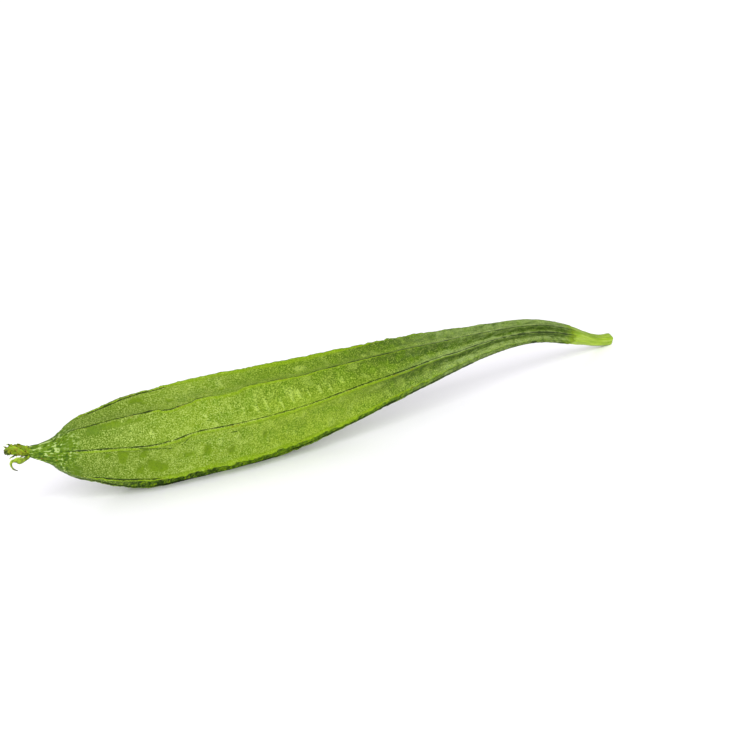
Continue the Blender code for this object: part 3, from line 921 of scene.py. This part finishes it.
def wither_petal(number, start, first, last, half_width):
    """A ribbon that winds up the stub, with edges that wave out from it.

    Its sections are flat ovals laid round the stub. They stand off by the square of the share
    of the way to the edge, times 0.3 + 0.5 * noise.
    """
    distance, line, radius = follow(STUB_STATIONS, PETAL_GUIDES)
    s = np.linspace(first, last, PETAL_RINGS)
    core = np.stack([np.interp(s, distance, line[:, k]) for k in range(3)], axis=1)
    reach = np.interp(s, distance, radius)
    axes = section_axes(core)
    round_it = np.linspace(0, 2 * np.pi, PETAL_COLUMNS, endpoint=False)
    sideways = np.tile(np.cos(round_it), (PETAL_RINGS, 1))
    width = half_width * np.sin(np.pi * np.linspace(0.12, 0.95, PETAL_RINGS)) ** 0.6
    edge = abs(sideways)
    side = np.where(sideways > 0, 0.25, 0.75)
    stretch = np.broadcast_to(s[:, None], edge.shape)
    wave = cloud(stretch + 9 * number, side, 4, 47) + 0.6 * cloud(stretch / 0.5, side, 4, 53)
    tip = ramp(np.linspace(0, 1, PETAL_RINGS), 0.8, 1)[:, None]
    lift = PETAL_LIFT + edge ** 2 * (0.3 + 0.5 * wave) * (1 + 0.5 * tip)
    lift = lift + PETAL_THICKNESS * np.sin(round_it)
    across = width[:, None] * sideways
    turned = start + 1.6 * STUB_TWIST * s[:, None] + np.degrees(across / reach[:, None])
    rings = sections(core, axes, turned, PETAL_DEPTH * reach[:, None] + lift)
    rings[..., 0] = np.maximum(rings[..., 0], STUB_END)
    height = 0.5 * wave * edge
    return make_mesh(f"petal_{number + 1}", rings, height=height, edge=edge, along=stretch)


def dry_thread(number, stations):
    """A thin tube along its points, narrowing to its tip, with knobs by noise all along."""
    distance, line, radius = follow(stations, THREAD_RINGS)
    degrees = np.arange(THREAD_COLUMNS) * 360 / THREAD_COLUMNS
    angles = np.tile(degrees, (THREAD_RINGS, 1))
    s = np.broadcast_to(distance[:, None], angles.shape)
    knobs = 1 + 0.35 * cloud(s / 0.6, angles / 360, 5, 59 + number)
    rings = sections(line, section_axes(line), angles, np.maximum(radius, 0.04)[:, None] * knobs)
    # The thread's height and edge paint light towards its end and shade at its root.
    lit_end = ramp(s, 0.45 * distance[-1], 0.8 * distance[-1])
    return make_mesh(f"thread_{number + 1}", rings, height=0.9 * lit_end - 0.45, edge=lit_end,
                     along=11 + 0 * s)


def withered_finish():
    """Dry tissue: olive brown, with yellow-green edges, painted light where it stands up, painted
    shade in its black-green pits, and a dark tip.
    """
    finish = Finish("withered", Roughness=0.65, Specular_IOR_Level=0.3)
    place = finish.position()
    height = finish.attribute("height")
    mottle = finish.noise(place, 0.0018, detail=3)
    finish.colour = finish.mix(mottle.step(0.36, 0.62), (112, 114, 0), (104, 134, 0))
    # Painted light where the tissue stands up; painted shade in its low pits.
    finish.tint(height.step(0.05, 0.5) * 0.8, (142, 168, 20))
    finish.tint(finish.attribute("edge").step(0.75, 1) * 0.6, (142, 170, 4))
    pit_shade = (height + 1.4 * (finish.noise(place, 0.0011, detail=3) - 0.5)).step(-0.12, -0.4)
    finish.tint(pit_shade * 0.9, (30, 42, 10))
    tip = (finish.attribute("along") + 5 * (mottle - 0.5)).step(12.3, 13.2)
    finish.tint(tip * 0.7, (40, 52, 14))
    finish.paint("Base Color", finish.colour)
    finish.bump(finish.noise(place, 0.0006, detail=3), 0.0003, 0.9)
    return finish.material


withered = withered_finish()
stub = wither_stub()
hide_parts("blossom_stub")
remains = [stub]
remains += [wither_petal(number, *petal) for number, petal in enumerate(PETALS)]
remains += [dry_thread(number, stations) for number, stations in enumerate(THREADS)]
for piece in remains:
    piece.data.materials.append(withered)
    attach(piece, "root")

# ----------
# The curled sepal. One leaf of the flower's foot stayed green: it hangs from the stub and curls
# back under it to a thin dry tip.

# Middle line of the leaf, with its half width to the outer and to the inner side of its curl.
SEPAL_STATIONS = [
    (-174.2, -14, 30.4, 0.9, 0.9),
    (-175.2, -15.2, 28.4, 1.5, 1.1),
    (-177.2, -16, 27.6, 1.3, 0.9),
    (-179.6, -16, 27.9, 1.3, 2.2),
    (-181.8, -15.8, 28.4, 1.1, 1.2),
    (-183.6, -15.6, 27.6, 0.9, 0.7),
    (-183.9, -15.5, 25.6, 0.5, 0.5),
    (-183, -15.6, 24.1, 0.45, 0.4),
    (-181.4, -15.8, 23.1, 0.25, 0.25),
]
SEPAL_RINGS = 150
SEPAL_COLUMNS = 36
SEPAL_THICKNESS = 0.22
SEPAL_CUP = 0.75
SEPAL_CRINKLE = 0.3
SEPAL_VEIN = 0.16


def curl_sepal():
    """The leaf: flat oval sections along its line, cupped, crinkled and with a raised vein.

    The cup is the square of the share of the way to the edge, the crinkle noise times that
    share, and the vein a bell of it.
    """
    stations = np.array(SEPAL_STATIONS)
    distance, line, outer = follow(stations[:, :4], SEPAL_RINGS)
    inner = follow(stations[:, [0, 1, 2, 4]], SEPAL_RINGS)[2]
    along = unit(np.gradient(line, axis=0))
    facing = unit(np.cross(along, np.cross((0, 1, 0), along)))
    edgewise = np.cross(facing, along)
    turn = np.tile(np.arange(SEPAL_COLUMNS) / SEPAL_COLUMNS, (SEPAL_RINGS, 1))
    c, h = np.cos(2 * np.pi * turn), np.sin(2 * np.pi * turn)
    s = np.broadcast_to(distance[:, None], turn.shape)
    nibble = 1 + 0.22 * cloud(s / 0.9, np.where(c > 0, 0.2, 0.7), 6, 67) * abs(c)
    wide = np.where(c > 0, outer[:, None], inner[:, None]) * c * nibble
    crinkle = cloud(s / 1.3, 0.25 + 0.2 * c, 8, 71)
    thick = SEPAL_THICKNESS * h - SEPAL_CUP * c ** 2 + 0.3 + SEPAL_CRINKLE * crinkle * abs(c)
    vein = SEPAL_VEIN * bell(c, 0.2) * np.sign(h)
    rings = line[:, None] + wide[..., None] * edgewise[:, None]
    rings = rings - (thick + vein)[..., None] * facing[:, None]
    return make_mesh("leaf", rings, along=s, across=c), distance[-1]


def leaf_finish(length):
    """Green leaf, pale on one side and dark on the other, with a dry grey tip."""
    finish = Finish("leaf", Roughness=0.5, Specular_IOR_Level=0.3)
    place = finish.position()
    along = finish.attribute("along")
    across = finish.attribute("across")
    mottle = finish.noise(place, 0.0014, detail=3)
    finish.colour = finish.mix(mottle.step(0.44, 0.62), (88, 108, 0), (126, 152, 14))
    finish.tint(across.step(0.5, 0.9) * 0.85, (176, 198, 92))
    finish.tint(across.step(-0.5, -0.95) * 0.6, (88, 116, 8))
    dark = (along + 5 * (mottle - 0.5)).step(6, 4) * abs(across).step(0.3, 0.8)
    finish.tint(dark * 0.8, (52, 78, 6))
    finish.tint(along.step(length - 2.6, length - 0.8), (104, 108, 92))
    finish.paint("Base Color", finish.colour)
    finish.bump(finish.noise(place, 0.0007), 0.0002, 0.7)
    return finish.material


leaf, leaf_length = curl_sepal()
leaf.data.materials.append(leaf_finish(leaf_length))
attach(leaf, "root")
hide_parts("curled_sepal")

# ----------
# The table, the light and the camera. The gourd lies on a white table top, under one wide soft
# light from the front left and a white surround. The camera looks down on it from the same side.

TABLE_CORNERS = [(-30, -30, 0), (30, -30, 0), (30, 30, 0), (-30, 30, 0)]


def lay_table():
    """A white, faintly glossy table top, wide enough to fill the view."""
    mesh = bpy.data.meshes.new("table")
    mesh.from_pydata(TABLE_CORNERS, [], [(0, 1, 2, 3)])
    table = add_object("table", mesh)
    finish = Finish("table", Roughness=0.25, Base_Color=(0.95, 0.93, 0.985, 1),
                    Emission_Color=(0.95, 0.93, 1, 1), Emission_Strength=0.1)
    table.data.materials.append(finish.material)


def seen_from(azimuth, elevation):
    """The unit vector towards an azimuth, counted from -Y over +X, and a height in degrees."""
    a, e = np.radians((azimuth, elevation))
    return Vector((np.sin(a) * np.cos(e), -np.cos(a) * np.cos(e), np.sin(e)))


def hang_sun(name, azimuth, elevation, width, strength):
    """A soft light without falloff, as wide as a softbox of that many degrees."""
    light = bpy.data.lights.new(name, "SUN")
    light.angle = np.radians(width)
    light.energy = strength
    towards = seen_from(azimuth, elevation).to_track_quat("Z", "Y")
    add_object(name, light).matrix_world = towards.to_matrix().to_4x4()


def set_camera(place, azimuth, elevation, roll, lens):
    """A camera at a place that looks away from that azimuth and elevation, rolled by an angle."""
    r = np.radians(roll)
    back = seen_from(azimuth, elevation)
    right = Vector((0, 0, 1)).cross(back).normalized()
    up = back.cross(right)
    rolled_right = right * np.cos(r) + up * np.sin(r)
    rolled_up = up * np.cos(r) - right * np.sin(r)
    data = bpy.data.cameras.new("camera")
    data.lens = lens
    scene.camera = add_object("camera", data)
    turn = Matrix((rolled_right, rolled_up, back)).transposed().to_4x4()
    scene.camera.matrix_world = Matrix.Translation(place) @ turn


lay_table()
world = bpy.data.worlds.new("studio")
world.use_nodes = True
surround = world.node_tree.nodes["Background"].inputs
surround["Color"].default_value = (1, 1, 1, 1)
surround["Strength"].default_value = 0.72
scene.world = world
scene.view_settings.view_transform = "Standard"
hang_sun("softbox", azimuth=-22, elevation=32, width=50, strength=3)
set_camera(place=(-0.4261, -0.9547, 0.3166), azimuth=-25, elevation=15.5, roll=-6, lens=100)
